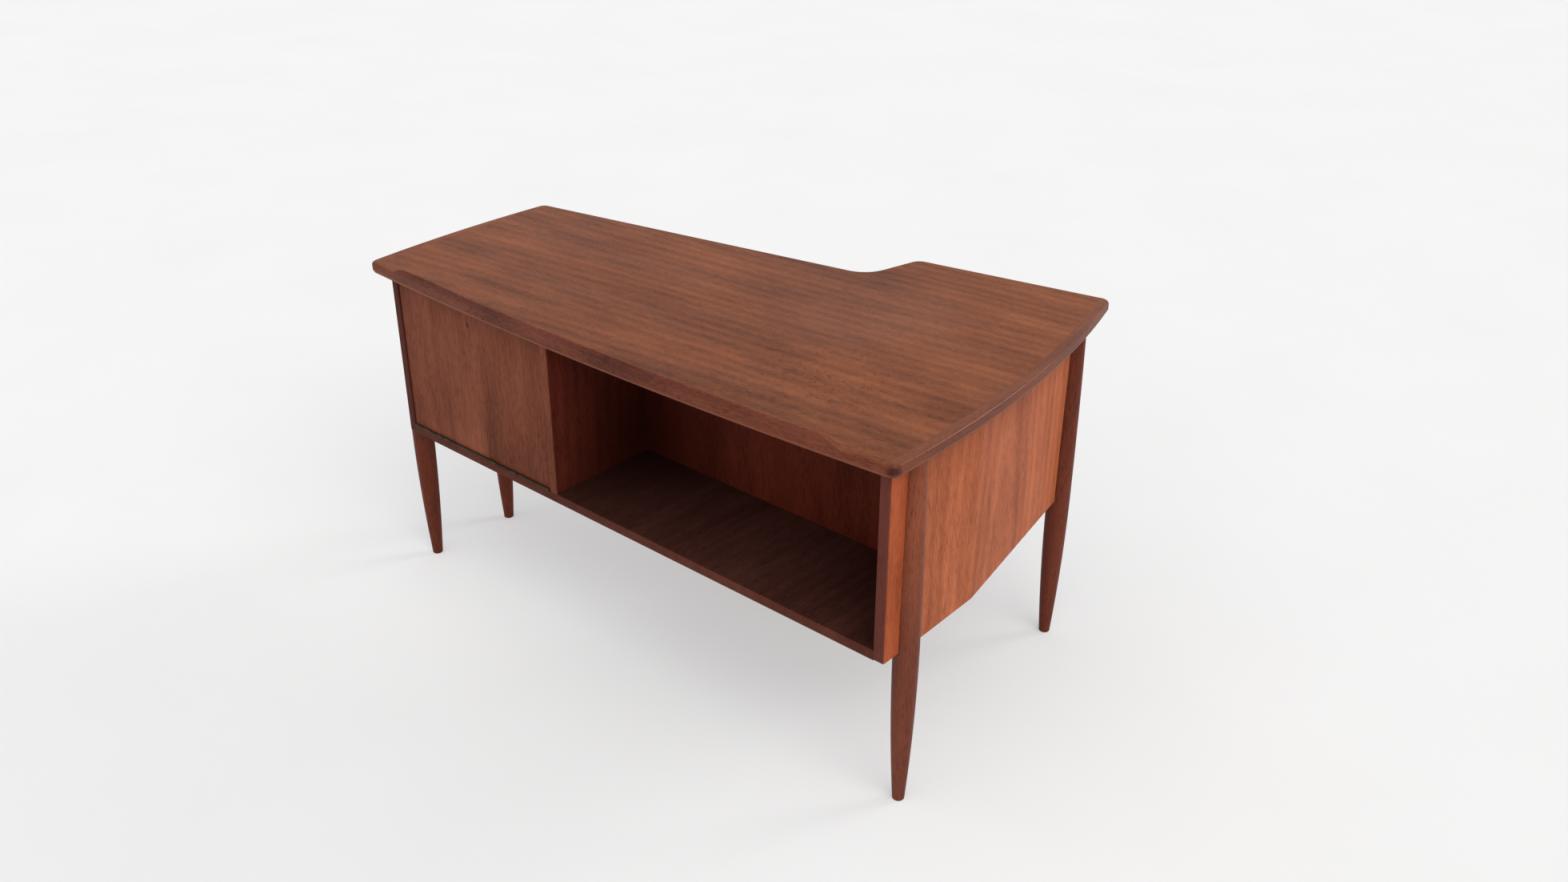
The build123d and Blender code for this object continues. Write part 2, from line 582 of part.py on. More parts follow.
def stay():
    """Rod with its eye, swivel, wall plate, bracket on the flap, and their screws."""
    pivot = stay_point(stay_flap_angle, stay_x)
    guide = stay_point(stay_wall_angle, stay_x)
    way = (Vector(*guide) - Vector(*pivot)).normalized()
    end = Vector(*pivot) + way * stay_rod_length
    knob_start = end - way * STAY_KNOB_LENGTH
    half_eye = STAY_EYE_WIDTH / 2
    eye = along_x(pivot, stay_x - half_eye, stay_x + half_eye, STAY_EYE_RADIUS)
    rod = rod_between(pivot, tuple(end), STAY_ROD_RADIUS) + eye
    rod += rod_between(tuple(knob_start), tuple(end), STAY_KNOB_RADIUS)
    pivot_bore = STAY_PIVOT_RADIUS + STAY_PIVOT_CLEARANCE
    rod -= along_x(pivot, stay_x - PAST, stay_x + PAST, pivot_bore)

    half_swivel = SWIVEL_WIDTH / 2
    plate_face = inner_half - WALL_PLATE_THICKNESS
    swivel = along_x(guide, stay_x - half_swivel, stay_x + half_swivel, SWIVEL_RADIUS)
    swivel += along_x(guide, stay_x, inner_half - STAY_SIDE_GAP, SWIVEL_SPIGOT_RADIUS)
    swivel -= rod_between(pivot, tuple(end), STAY_ROD_RADIUS + STAY_ROD_CLEARANCE)

    plate = Box(WALL_PLATE_THICKNESS, WALL_PLATE_WIDTH, WALL_PLATE_HEIGHT)
    plate = fillet(plate.edges().filter_by(Axis.X), WALL_PLATE_ROUND)
    plate = Pos(inner_half - WALL_PLATE_THICKNESS / 2, guide[1], guide[2]) * plate
    plate -= along_x(guide, stay_x, inner_half + PAST, SWIVEL_SPIGOT_RADIUS + STAY_PIVOT_CLEARANCE)
    heads = [(plate_face, guide[1], guide[2] + rise) for rise in (-WALL_SCREW_RISE, WALL_SCREW_RISE)]
    wall_screws = stay_screws(heads, (-1, 0, 0))

    lug_inner = stay_x + half_eye + STAY_SIDE_GAP
    lug_outer = lug_inner + BRACKET_LUG_THICKNESS
    base_face = flap_back - BRACKET_THICKNESS
    base = Box(BRACKET_WIDTH, BRACKET_THICKNESS, BRACKET_HEIGHT)
    bracket = Pos(lug_outer - BRACKET_WIDTH / 2, flap_back - BRACKET_THICKNESS / 2, pivot[2]) * base
    lug_low = pivot[2] - STAY_EYE_RADIUS
    lug_high = pivot[2] + STAY_EYE_RADIUS
    bracket += slab(lug_inner, lug_outer, pivot[1], base_face, lug_low, lug_high)
    bracket += along_x(pivot, lug_inner, lug_outer, STAY_EYE_RADIUS)
    pin_end = stay_x - half_eye - STAY_SIDE_GAP
    bracket += along_x(pivot, pin_end, lug_outer, STAY_PIVOT_RADIUS)
    bracket += along_x(pivot, pin_end - STAY_PIN_HEAD_THICKNESS, pin_end, STAY_PIN_HEAD_RADIUS)
    screw_x = lug_outer - BRACKET_WIDTH + BRACKET_SCREW_EDGE
    heads = [(screw_x, base_face, pivot[2] + rise) for rise in (-BRACKET_SCREW_RISE, BRACKET_SCREW_RISE)]
    flap_screws = stay_screws(heads, (0, -1, 0))
    return {
        "stay_rod": rod,
        "stay_swivel": swivel,
        "stay_wall_plate": plate,
        "stay_flap_bracket": bracket,
        "wall_screws": wall_screws,
        "flap_screws": flap_screws,
    }


# Drawer places, measured across the pedestal and towards the user from the crease
drawer_height = (ceiling - board_top - DRAWER_GAP) / DRAWER_COUNT - DRAWER_GAP
drawer_face = PEDESTAL_DEPTH - DRAWER_FRONT_SETBACK
drawer_front_back = drawer_face - DRAWER_FRONT_THICKNESS
drawer_rear = opening_inner * tan(turn) + DRAWER_REAR_GAP


def drawer_base(number):
    """Height of a drawer front's lower edge, counted from the top drawer."""
    return board_top + DRAWER_GAP + (DRAWER_COUNT - number) * (drawer_height + DRAWER_GAP)


def cell(across_0, across_1, depth_0, depth_1, z0, z1):
    """Box in the pedestal's own frame."""
    return slab(across_0, across_1, -depth_1, -depth_0, z0, z1)


def runner(number, across_0, across_1):
    """Wooden strip that one side of a drawer slides on."""
    low = drawer_base(number) + (drawer_height - RUNNER_HEIGHT) / 2
    start = drawer_rear + RUNNER_END_GAP
    end = drawer_front_back - RUNNER_END_GAP
    return cell(across_0, across_1, start, end, low, low + RUNNER_HEIGHT)


def pull():
    """Carved crescent pull with a finger hollow underneath, drawn at the origin of the front's face."""
    half = PULL_LENGTH / 2
    plan = make_face([ThreePointArc((-half, 0), (0, -PULL_DEPTH), (half, 0)), Line((half, 0), (-half, 0))])
    body = Pos(0, 0, -PULL_HEIGHT / 2) * extrude(plan, PULL_HEIGHT)
    body = fillet(body.edges().filter_by(GeomType.CIRCLE), PULL_ROUND)
    inset = half - 2 * PULL_SCOOP_INSET
    scoop_front = PULL_SCOOP_INSET - PULL_DEPTH
    hollow = make_face([
        ThreePointArc((-inset, -PULL_SCOOP_SETBACK), (0, scoop_front), (inset, -PULL_SCOOP_SETBACK)),
        Line((inset, -PULL_SCOOP_SETBACK), (-inset, -PULL_SCOOP_SETBACK)),
    ])
    return body - Pos(0, 0, -PULL_HEIGHT / 2 - PAST) * extrude(hollow, PAST + PULL_SCOOP_DEPTH)


def drawer(number):
    """The pieces of one drawer, in the pedestal's own frame."""
    z0 = drawer_base(number)
    z1 = z0 + drawer_height
    side_bottom = z0 + DRAWER_SIDE_LIFT
    side_top = z1 - DRAWER_SIDE_DROP
    bottom_low = side_bottom + DRAWER_BOTTOM_LIFT
    bottom_high = bottom_low + DRAWER_BOTTOM_THICKNESS
    outer_face = opening_outer + DRAWER_SIDE_CLEARANCE
    inner_face = opening_inner - DRAWER_SIDE_CLEARANCE
    hollow_outer = outer_face + DRAWER_SIDE_THICKNESS
    hollow_inner = inner_face - DRAWER_SIDE_THICKNESS
    side_end = drawer_front_back + DRAWER_SIDE_LAP
    bottom_outer = hollow_outer - DRAWER_BOTTOM_GROOVE
    bottom_inner = hollow_inner + DRAWER_BOTTOM_GROOVE
    bottom_end = drawer_front_back + DRAWER_BOTTOM_GROOVE
    bottom = cell(bottom_outer, bottom_inner, drawer_rear, bottom_end, bottom_low, bottom_high)
    back_end = drawer_rear + DRAWER_BACK_THICKNESS
    back = cell(hollow_outer, hollow_inner, drawer_rear, back_end, bottom_high, side_top - DRAWER_BACK_DROP)
    outer_side = cell(outer_face, hollow_outer, drawer_rear, side_end, side_bottom, side_top)
    inner_side = cell(hollow_inner, inner_face, drawer_rear, side_end, side_bottom, side_top)
    middle = (z0 + z1) / 2
    groove_low = middle - RUNNER_HEIGHT / 2 - RUNNER_CLEARANCE
    groove_high = middle + RUNNER_HEIGHT / 2 + RUNNER_CLEARANCE
    groove_outer = outer_face + RUNNER_BITE + RUNNER_CLEARANCE
    groove_inner = inner_face - RUNNER_BITE - RUNNER_CLEARANCE
    groove_start = drawer_rear - PAST
    outer_side -= cell(0, groove_outer, groove_start, drawer_front_back, groove_low, groove_high)
    inner_side -= cell(groove_inner, PEDESTAL_WIDTH, groove_start, drawer_front_back, groove_low, groove_high)
    front_outer = opening_outer + DRAWER_FRONT_SIDE_GAP
    front_inner = opening_inner - DRAWER_FRONT_SIDE_GAP
    front = cell(front_outer, front_inner, drawer_front_back, drawer_face, z0, z1)
    return {
        "front": front - [bottom, outer_side, inner_side],
        "outer_side": outer_side - bottom,
        "inner_side": inner_side - bottom,
        "back": back,
        "bottom": bottom,
        "pull": Pos(PEDESTAL_WIDTH / 2, -drawer_face, middle) * pull(),
    }


def build():
    """Every piece of the desk by name, in the drawing frame."""
    pieces = {**top_pieces(), **rear_box(), **pedestal()}

    screws = []
    for name, place in leg_places.items():
        own = [place * screw for screw in leg_screws()]
        pieces[name] = place * leg() - own
        screws += own
    for name in ("left_edge_strip", "left_side", "right_edge_strip", "right_side", "pedestal_outer_side"):
        pieces[name] -= screws
    pieces["leg_screws"] = group(screws)

    numbers = range(1, DRAWER_COUNT + 1)
    width = DRAWER_SIDE_CLEARANCE + RUNNER_BITE
    for name, across in (("runners_outer", opening_outer), ("runners_inner", opening_inner - width)):
        pieces[name] = group([pedestal_place * runner(number, across, across + width) for number in numbers])

    lock_pieces = lock()
    stay_pieces = stay()
    fixed_screws = hinge_screws(board_top + HINGE_LEAF_THICKNESS, 1)
    flap_screws = hinge_screws(flap_bottom - HINGE_LEAF_THICKNESS, -1)
    flap = slab(flap_right, flap_left, flap_back, flap_face, flap_bottom, flap_top)
    pieces["bar_flap"] = flap - [lock_pieces["pocket"], keyhole(), *flap_screws, *stay_pieces["flap_screws"]]
    pieces["bottom_board"] -= [hinge_tube(divider_left, inner_half, hinge_swing), *fixed_screws]
    fixed_leaf = hinge_leaf(board_top, board_top + HINGE_LEAF_THICKNESS, 0, HINGE_PIN_RADIUS)
    turning_bore = HINGE_PIN_RADIUS + HINGE_PIN_CLEARANCE
    flap_leaf = hinge_leaf(flap_bottom - HINGE_LEAF_THICKNESS, flap_bottom, 1, turning_bore)
    pieces["hinge_fixed_leaf"] = fixed_leaf - fixed_screws
    pieces["hinge_flap_leaf"] = flap_leaf - flap_screws
    pieces["hinge_pin"] = hinge_tube(flap_right, flap_left, HINGE_PIN_RADIUS)
    pieces["hinge_fixed_screws"] = group(fixed_screws)
    pieces["hinge_flap_screws"] = group(flap_screws)

    pieces["lock_case"] = lock_pieces["case"]
    pieces["lock_bolt"] = lock_pieces["bolt"]
    pieces["strike_plate"] = lock_pieces["strike"]
    pieces["stay_rod"] = stay_pieces["stay_rod"]
    pieces["stay_swivel"] = stay_pieces["stay_swivel"]
    pieces["stay_wall_plate"] = stay_pieces["stay_wall_plate"] - stay_pieces["wall_screws"]
    pieces["stay_flap_bracket"] = stay_pieces["stay_flap_bracket"] - stay_pieces["flap_screws"]
    pieces["stay_wall_screws"] = group(stay_pieces["wall_screws"])
    pieces["stay_flap_screws"] = group(stay_pieces["flap_screws"])
    pieces["left_side"] -= stay_pieces["wall_screws"]

    hold_down = top_screws()
    for name in ("top_panel", "carcass_top", "pedestal_top"):
        pieces[name] -= hold_down
    pieces["carcass_top"] -= lock_pieces["strike_recess"]
    pieces["top_screws"] = group(hold_down)

    for number in numbers:
        for name, piece in drawer(number).items():
            pieces[f"drawer_{number}_{name}"] = pedestal_place * piece
    return pieces


pieces = build()
boxes = [piece.bounding_box() for piece in pieces.values()]
middle_x = (min(box.min.X for box in boxes) + max(box.max.X for box in boxes)) / 2
middle_y = (min(box.min.Y for box in boxes) + max(box.max.Y for box in boxes)) / 2
os.makedirs("parts", exist_ok=True)
for name, piece in pieces.items():
    export_step(Pos(-middle_x, -middle_y, 0) * piece, f"parts/{name}.step")
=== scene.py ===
import math

import bpy
from mathutils import Euler, Matrix, Vector

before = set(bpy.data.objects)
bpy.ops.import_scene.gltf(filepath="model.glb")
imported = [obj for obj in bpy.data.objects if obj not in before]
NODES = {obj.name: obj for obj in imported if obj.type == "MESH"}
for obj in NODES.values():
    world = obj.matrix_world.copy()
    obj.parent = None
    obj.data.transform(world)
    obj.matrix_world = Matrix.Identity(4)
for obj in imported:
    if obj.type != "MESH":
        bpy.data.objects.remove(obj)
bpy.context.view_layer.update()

# The looks of a teak writing desk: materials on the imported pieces, floor, light and camera.
# Everything is in metres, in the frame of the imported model.

# Camera of the photograph, in pixels of a 1960 x 1102 picture; angles in degrees
IMAGE_WIDTH = 1960.0
FOCAL_PIXELS = 1735.17
CENTRE_OFF_X = -13.0
CENTRE_OFF_Y = -29.2
SENSOR_WIDTH = 36.0
CAMERA_PLACE = (-1.73431, 1.89994, 1.73179)
CAMERA_YAW = 40.760
CAMERA_PITCH = 26.903
CAMERA_ROLL = 0.106
CAMERA_REACH = 60.0

# Floor: a round plate, and the share of plain brightness in what is seen of it
FLOOR_RADIUS = 30.0
FLOOR_CORNERS = 96
FLOOR_NOISE = (1.6, 5.0, 0.6)
FLOOR_COLOURS = [(0.30, (0.868, 0.865, 0.860)), (0.70, (0.898, 0.898, 0.895))]
FLOOR_ROUGHNESS = 0.7
FLOOR_BRIGHTNESS = (0.87, 0.87, 0.87, 1.0)
FLOOR_BRIGHT_SHARE = 0.35

# Room: colour and strength of its light, and the colour in which it is seen
ROOM_COLOUR = (0.97, 0.98, 1.0, 1.0)
ROOM_LIGHT = 0.50
ROOM_SEEN = (0.92, 0.92, 0.92, 1.0)

# Lamps: name, power, spread in degrees, way that the light goes, colour
LAMPS = (
    ("ceiling", 1.20, 90.0, (0.30, -0.45, -0.85), (1.0, 0.995, 0.985)),
    ("lamp", 0.90, 50.0, (0.74, -0.25, -0.62), (1.0, 0.985, 0.96)),
    ("window", 0.60, 18.0, (0.45, 0.78, -0.44), (1.0, 0.99, 0.98)),
)

# Turns that bring a piece's grain onto the texture's own X axis, in degrees
GRAIN = {"x": (0.0, 0.0, 0.0), "y": (0.0, 0.0, -90.0), "z": (0.0, 90.0, 0.0)}

# Noises drawn out along the grain or the brushing: how fine along and across it, detail, roughness
PATTERNS = {
    "sway": (1.3, 4.0, 2.0, 0.5),
    "broad": (0.8, 10.0, 3.0, 0.55),
    "cloud": (5.0, 22.0, 5.0, 0.62),
    "streak": (9.0, 190.0, 4.0, 0.65),
    "dash": (55.0, 420.0, 3.0, 0.6),
    "fleck": (110.0, 260.0, 4.0, 0.65),
    "pore": (45.0, 560.0, 2.0, 0.5),
    "patch": (3.0, 9.0, 4.0, 0.6),
    "brush": (40.0, 900.0, 3.0, 0.6),
}

# Seeds: how far one moves a pattern, what is added for the pores, and the step from piece to piece
SEED_MOVE = (7.1, 3.3, 5.7)
PORE_SEED = 0.4
PIECE_SEED = 0.37

# Course of the grain: how far it sways, how rings are drawn out, their scale when 1 m apart, how uneven they are
SWAY = 0.05
RING_DRAW = (0.10, 1.0, 1.0)
RING_SCALE = 0.314
RING_PHASE = 5.0
RING_UNEVEN = {"Distortion": 2.4, "Detail": 3.0, "Detail Scale": 1.2, "Detail Roughness": 0.55}

# Tone: its average, the shares of noises in it, and where the dark, middle and light colours lie on it
MIDDLE_TONE = 0.50
BROAD_SHARE = 0.34
CLOUD_SHARE = 0.38
DASH_SHARE = 0.36
RING_SHARE = 0.14
TONE_STOPS = (0.34, MIDDLE_TONE, 0.68)

# Colours beyond the light and the dark one, by what those are multiplied
PALE = 1.3
DEEP = 0.40

# Pores: where they lie, where they are thick, how much they darken. Blotches: by what the colour is multiplied
PORE_STOPS = [(0.33, 1.0), (0.46, 0.0)]
PORE_THICKNESS = [(0.38, 1.0), (0.62, 0.35)]
PORE_DEPTH = 0.58
BLOTCH_STOPS = [(0.34, 0.66), (0.60, 1.0)]

# Marks round a spot, between an inner and an outer radius: smudges and scuffs of wear, a painted sheen,
# lighter spots, dark spots
WORN_RADII = (0.05, 0.24)
SMUDGE_NOISE = (26.0, 4.0, 0.65)
SMUDGE_STOPS = [(0.44, 0.0), (0.62, 0.16)]
SCUFF_NOISE = (120.0, 2.0, 0.5, 0.5)
SCUFF_STOPS = [(0.28, 0.65), (0.40, 0.0)]
PAINTED_SHEEN = (0.33, 0.20, 0.165)
PAINTED_SHEEN_RADII = (0.02, 0.24)
PAINTED_SHEEN_STOPS = [(0.35, 0.03), (0.65, 0.16)]
LIGHTER_TINT = (1.12, 1.12, 1.08)
LIGHTER_RADII = (0.04, 0.36)
DARK_SPOT_DEPTH = 0.85

# Rounded edges, by how far up they face: where the painted shade on the flank and the painted reflection of the
# floor on the underside begin and are full, how much lighter that reflection makes the underside, and at which
# levels from
# 0, facing down, to 1 the polish comes and goes
FLANK = (0.95, 0.55)
UNDERSIDE = (-0.25, -0.40)
UNDERSIDE_REFLECTION = 0.30
POLISH_LEVELS = (0.55, 0.65, 0.94, 0.99)

# Softened arrises: radius, rays, and how much paler they are painted, for wear and a highlight, by how
# sharp and where they are
ARRIS_RADIUS = 0.0020
ARRIS_RAYS = 4
PALE_ARRIS_STOPS = [(0.72, 1.0), (0.985, 0.0)]
PALE_ARRIS_PATCHES = [(0.3, 0.35), (0.65, 1.0)]

# Surface of the wood: shares of patches and streaks in its roughness, of streaks, dashes and pores in its relief
GLOSS_SHARES = (0.16, 0.12)
RELIEF_SHARES = (0.4, 0.5, -0.9)
RELIEF = {"Strength": 0.20, "Distance": 0.0004}

# Surface of the metal: where tarnish begins and is full, how far a greater amount moves that, shares of tarnish
# and brushing in the roughness, what is taken off for them, and the relief
TARNISH_NOISE = (60.0, 6.0, 0.65)
TARNISH_FROM = 0.62
TARNISH_TO = 0.95
TARNISH_MOVE = 0.4
METAL_GLOSS_SHARES = (0.22, 0.18)
METAL_GLOSS_OFF = 0.1
BRUSHING = {"Strength": 0.12, "Distance": 0.0002}


class Tree:
    """The node tree of a material or a world, with short calls to add nodes."""

    def __init__(self, owner, kind):
        owner.use_nodes = True
        self.owner = owner
        self.nodes = owner.node_tree.nodes
        self.links = owner.node_tree.links
        self.nodes.clear()
        self.output = self.nodes.new("ShaderNodeOutput" + kind)

    def add(self, kind, inputs=None, **settings):
        """New node. inputs maps a socket's name or number to a value or to another node's socket."""
        node = self.nodes.new("ShaderNode" + kind)
        for key, value in settings.items():
            setattr(node, key, value)
        for key, value in (inputs or {}).items():
            if isinstance(value, bpy.types.NodeSocket):
                self.links.new(value, node.inputs[key])
            else:
                node.inputs[key].default_value = value
        return node

    def place(self):
        """Where the shaded point is, in metres."""
        return self.add("TexCoord").outputs["Object"]

    def axis(self, vector, name):
        """The X, Y or Z of a vector."""
        return self.add("SeparateXYZ", {0: vector}).outputs[name]

    def noise(self, vector, scale, detail, roughness, distortion=0.0):
        """Noise value, mostly between 0.25 and 0.75."""
        inputs = {"Vector": vector, "Scale": scale, "Detail": detail, "Roughness": roughness,
                  "Distortion": distortion}
        return self.add("TexNoise", inputs).outputs["Fac"]

    def ramp(self, value, stops):
        """Colour ramp. stops is a list of (position, colour), a colour being a number or three numbers."""
        node = self.add("ValToRGB", {"Fac": value})
        elements = node.color_ramp.elements
        while len(elements) < len(stops):
            elements.new(1.0)
        for element, (position, colour) in zip(elements, stops):
            element.position = position
            rgb = colour if isinstance(colour, tuple) else (colour,) * 3
            element.color = (*rgb, 1.0)
        return node.outputs["Color"]

    def rise(self, value, start, end, shape="LINEAR"):
        """0 where the value is at start, 1 where it is at end."""
        inputs = {"Value": value, "From Min": start, "From Max": end}
        return self.add("MapRange", inputs, interpolation_type=shape).outputs["Result"]

    def math(self, operation, a, b):
        """Arithmetic on two numbers or sockets."""
        return self.add("Math", {0: a, 1: b}, operation=operation).outputs[0]

    def weighted(self, *terms):
        """Sum of (socket, weight) pairs."""
        total = None
        for socket, weight in terms:
            part = self.math("MULTIPLY", socket, weight)
            total = part if total is None else self.math("ADD", total, part)
        return total

    def varied(self, middle, *terms):
        """Value that varies round the middle by (noise, weight) pairs, a noise being 0.5 on average."""
        average = 0.5 * sum(weight for _, weight in terms)
        return self.math("ADD", self.weighted(*terms), middle - average)

    def mix(self, factor, a, b, blend="MIX"):
        """Mix of two colours."""
        node = self.add("Mix", data_type="RGBA", blend_type=blend)
        for socket, value in ((node.inputs[0], factor), (node.inputs[6], a), (node.inputs[7], b)):
            if isinstance(value, bpy.types.NodeSocket):
                self.links.new(value, socket)
            else:
                socket.default_value = value if not isinstance(value, tuple) else (*value, 1.0)
        return node.outputs[2]

    def tint(self, factor, colour, shade):
        """Colour multiplied by shade, as far as factor says."""
        return self.mix(factor, colour, self.mix(1.0, colour, shade, "MULTIPLY"))

    def seen(self):
        """1 for what the camera sees, straight, mirrored or through glass, 0 for light on other things."""
        path = self.add("LightPath").outputs
        either = self.math("MAXIMUM", path["Is Camera Ray"], path["Is Glossy Ray"])
        return self.math("MAXIMUM", either, path["Is Transmission Ray"])

    def finish(self, shader):
        """Connect the shader, and give back the material or world."""
        self.links.new(shader.outputs[0], self.output.inputs["Surface"])
        return self.owner


def material_tree(name):
    """Tree of a new material."""
    return Tree(bpy.data.materials.new(name), "Material")


def grain_space(tree, grain, slant, heart):
    """Object coordinates with X along the grain and the origin at the heart of the figure."""
    turn = [math.radians(angle) for angle in GRAIN[grain]]
    if grain != "z":
        turn[2] -= math.radians(slant)
    shift = Euler(turn).to_matrix() @ Vector(heart)
    inputs = {"Vector": tree.place(), "Rotation": tuple(turn), "Location": tuple(-shift)}
    return tree.add("Mapping", inputs).outputs["Vector"]


def pattern(tree, vector, kind, seed):
    """A noise drawn out along the vector's X, and moved by the seed."""
    along, across, detail, roughness = PATTERNS[kind]
    move = tuple(step * seed for step in SEED_MOVE)
    inputs = {"Vector": vector, "Scale": (along, across, across), "Location": move}
    return tree.noise(tree.add("Mapping", inputs).outputs["Vector"], 1.0, detail, roughness)


def near(tree, spot, inner, outer):
    """1 within the inner radius of a spot, 0 beyond the outer one."""
    inputs = {0: tree.place(), 1: spot}
    distance = tree.add("VectorMath", inputs, operation="DISTANCE").outputs["Value"]
    inputs = {"Value": distance, "From Min": inner, "From Max": outer, "To Min": 1.0, "To Max": 0.0}
    return tree.add("MapRange", inputs, interpolation_type="SMOOTHSTEP").outputs["Result"]


def swaying(tree, space, seed):
    """Coordinates whose grain runs in slow waves."""
    sway = tree.math("SUBTRACT", pattern(tree, space, "sway", seed), 0.5)
    sway = tree.math("MULTIPLY", sway, SWAY)
    offset = tree.add("CombineXYZ", {"Y": sway, "Z": sway}).outputs["Vector"]
    return tree.add("VectorMath", {0: space, 1: offset}, operation="ADD").outputs["Vector"]


def ring_figure(tree, space, pitch, seed):
    """Growth rings, drawn out along the grain."""
    drawn = tree.add("Mapping", {"Vector": space, "Scale": RING_DRAW}).outputs["Vector"]
    inputs = {"Vector": drawn, "Scale": RING_SCALE / pitch, "Phase Offset": RING_PHASE * seed, **RING_UNEVEN}
    return tree.add("TexWave", inputs, wave_type="RINGS", rings_direction="Z").outputs["Fac"]


def worn(tree, colour, spot, pale, deep):
    """Pale smudges and dark scuffs round a spot."""
    there = near(tree, spot, *WORN_RADII)
    smudge = tree.ramp(tree.noise(tree.place(), *SMUDGE_NOISE), SMUDGE_STOPS)
    scuff = tree.ramp(tree.noise(tree.place(), *SCUFF_NOISE), SCUFF_STOPS)
    colour = tree.mix(tree.math("MULTIPLY", smudge, there), colour, pale)
    return tree.mix(tree.math("MULTIPLY", scuff, there), colour, deep)


def edged(tree, colour, gloss, light, shade, polish):
    """Colour and roughness of a piece with rounded edges: painted shade on its flank, a painted reflection of
    the floor on its underside, its rounding smoother.
    """
    upward = tree.axis(tree.add("TexCoord").outputs["Normal"], "Z")
    # Painted shade: the flank, facing sideways, darker than the flat top.
    colour = tree.tint(tree.rise(upward, *FLANK), colour, shade)
    # Painted reflection of the floor: the underside, facing down, made lighter.
    floor_reflection = tree.math("MULTIPLY", tree.rise(upward, *UNDERSIDE), UNDERSIDE_REFLECTION)
    colour = tree.mix(floor_reflection, colour, light)
    level = tree.math("MULTIPLY", tree.math("ADD", upward, 1.0), 0.5)
    smooth = tree.ramp(level, list(zip(POLISH_LEVELS, (0.0, polish, polish, 0.0))))
    return colour, tree.math("SUBTRACT", gloss, smooth)


def rubbed_and_highlit(tree, colour, patch, wear_and_highlight, pale):
    """Colour painted paler on the arrises, for wear and a highlight, and the normal that rounds them."""
    soft = tree.add("Bevel", {"Radius": ARRIS_RADIUS}, samples=ARRIS_RAYS).outputs["Normal"]
    plain = tree.add("NewGeometry").outputs["Normal"]
    facing = tree.add("VectorMath", {0: soft, 1: plain}, operation="DOT_PRODUCT").outputs["Value"]
    # Paler arrises: wear, and a painted highlight along them.
    rub_and_highlight = tree.math("MULTIPLY", tree.ramp(facing, PALE_ARRIS_STOPS), wear_and_highlight)
    rub_and_highlight = tree.math("MULTIPLY", rub_and_highlight, tree.ramp(patch, PALE_ARRIS_PATCHES))
    return tree.mix(rub_and_highlight, colour, pale), soft


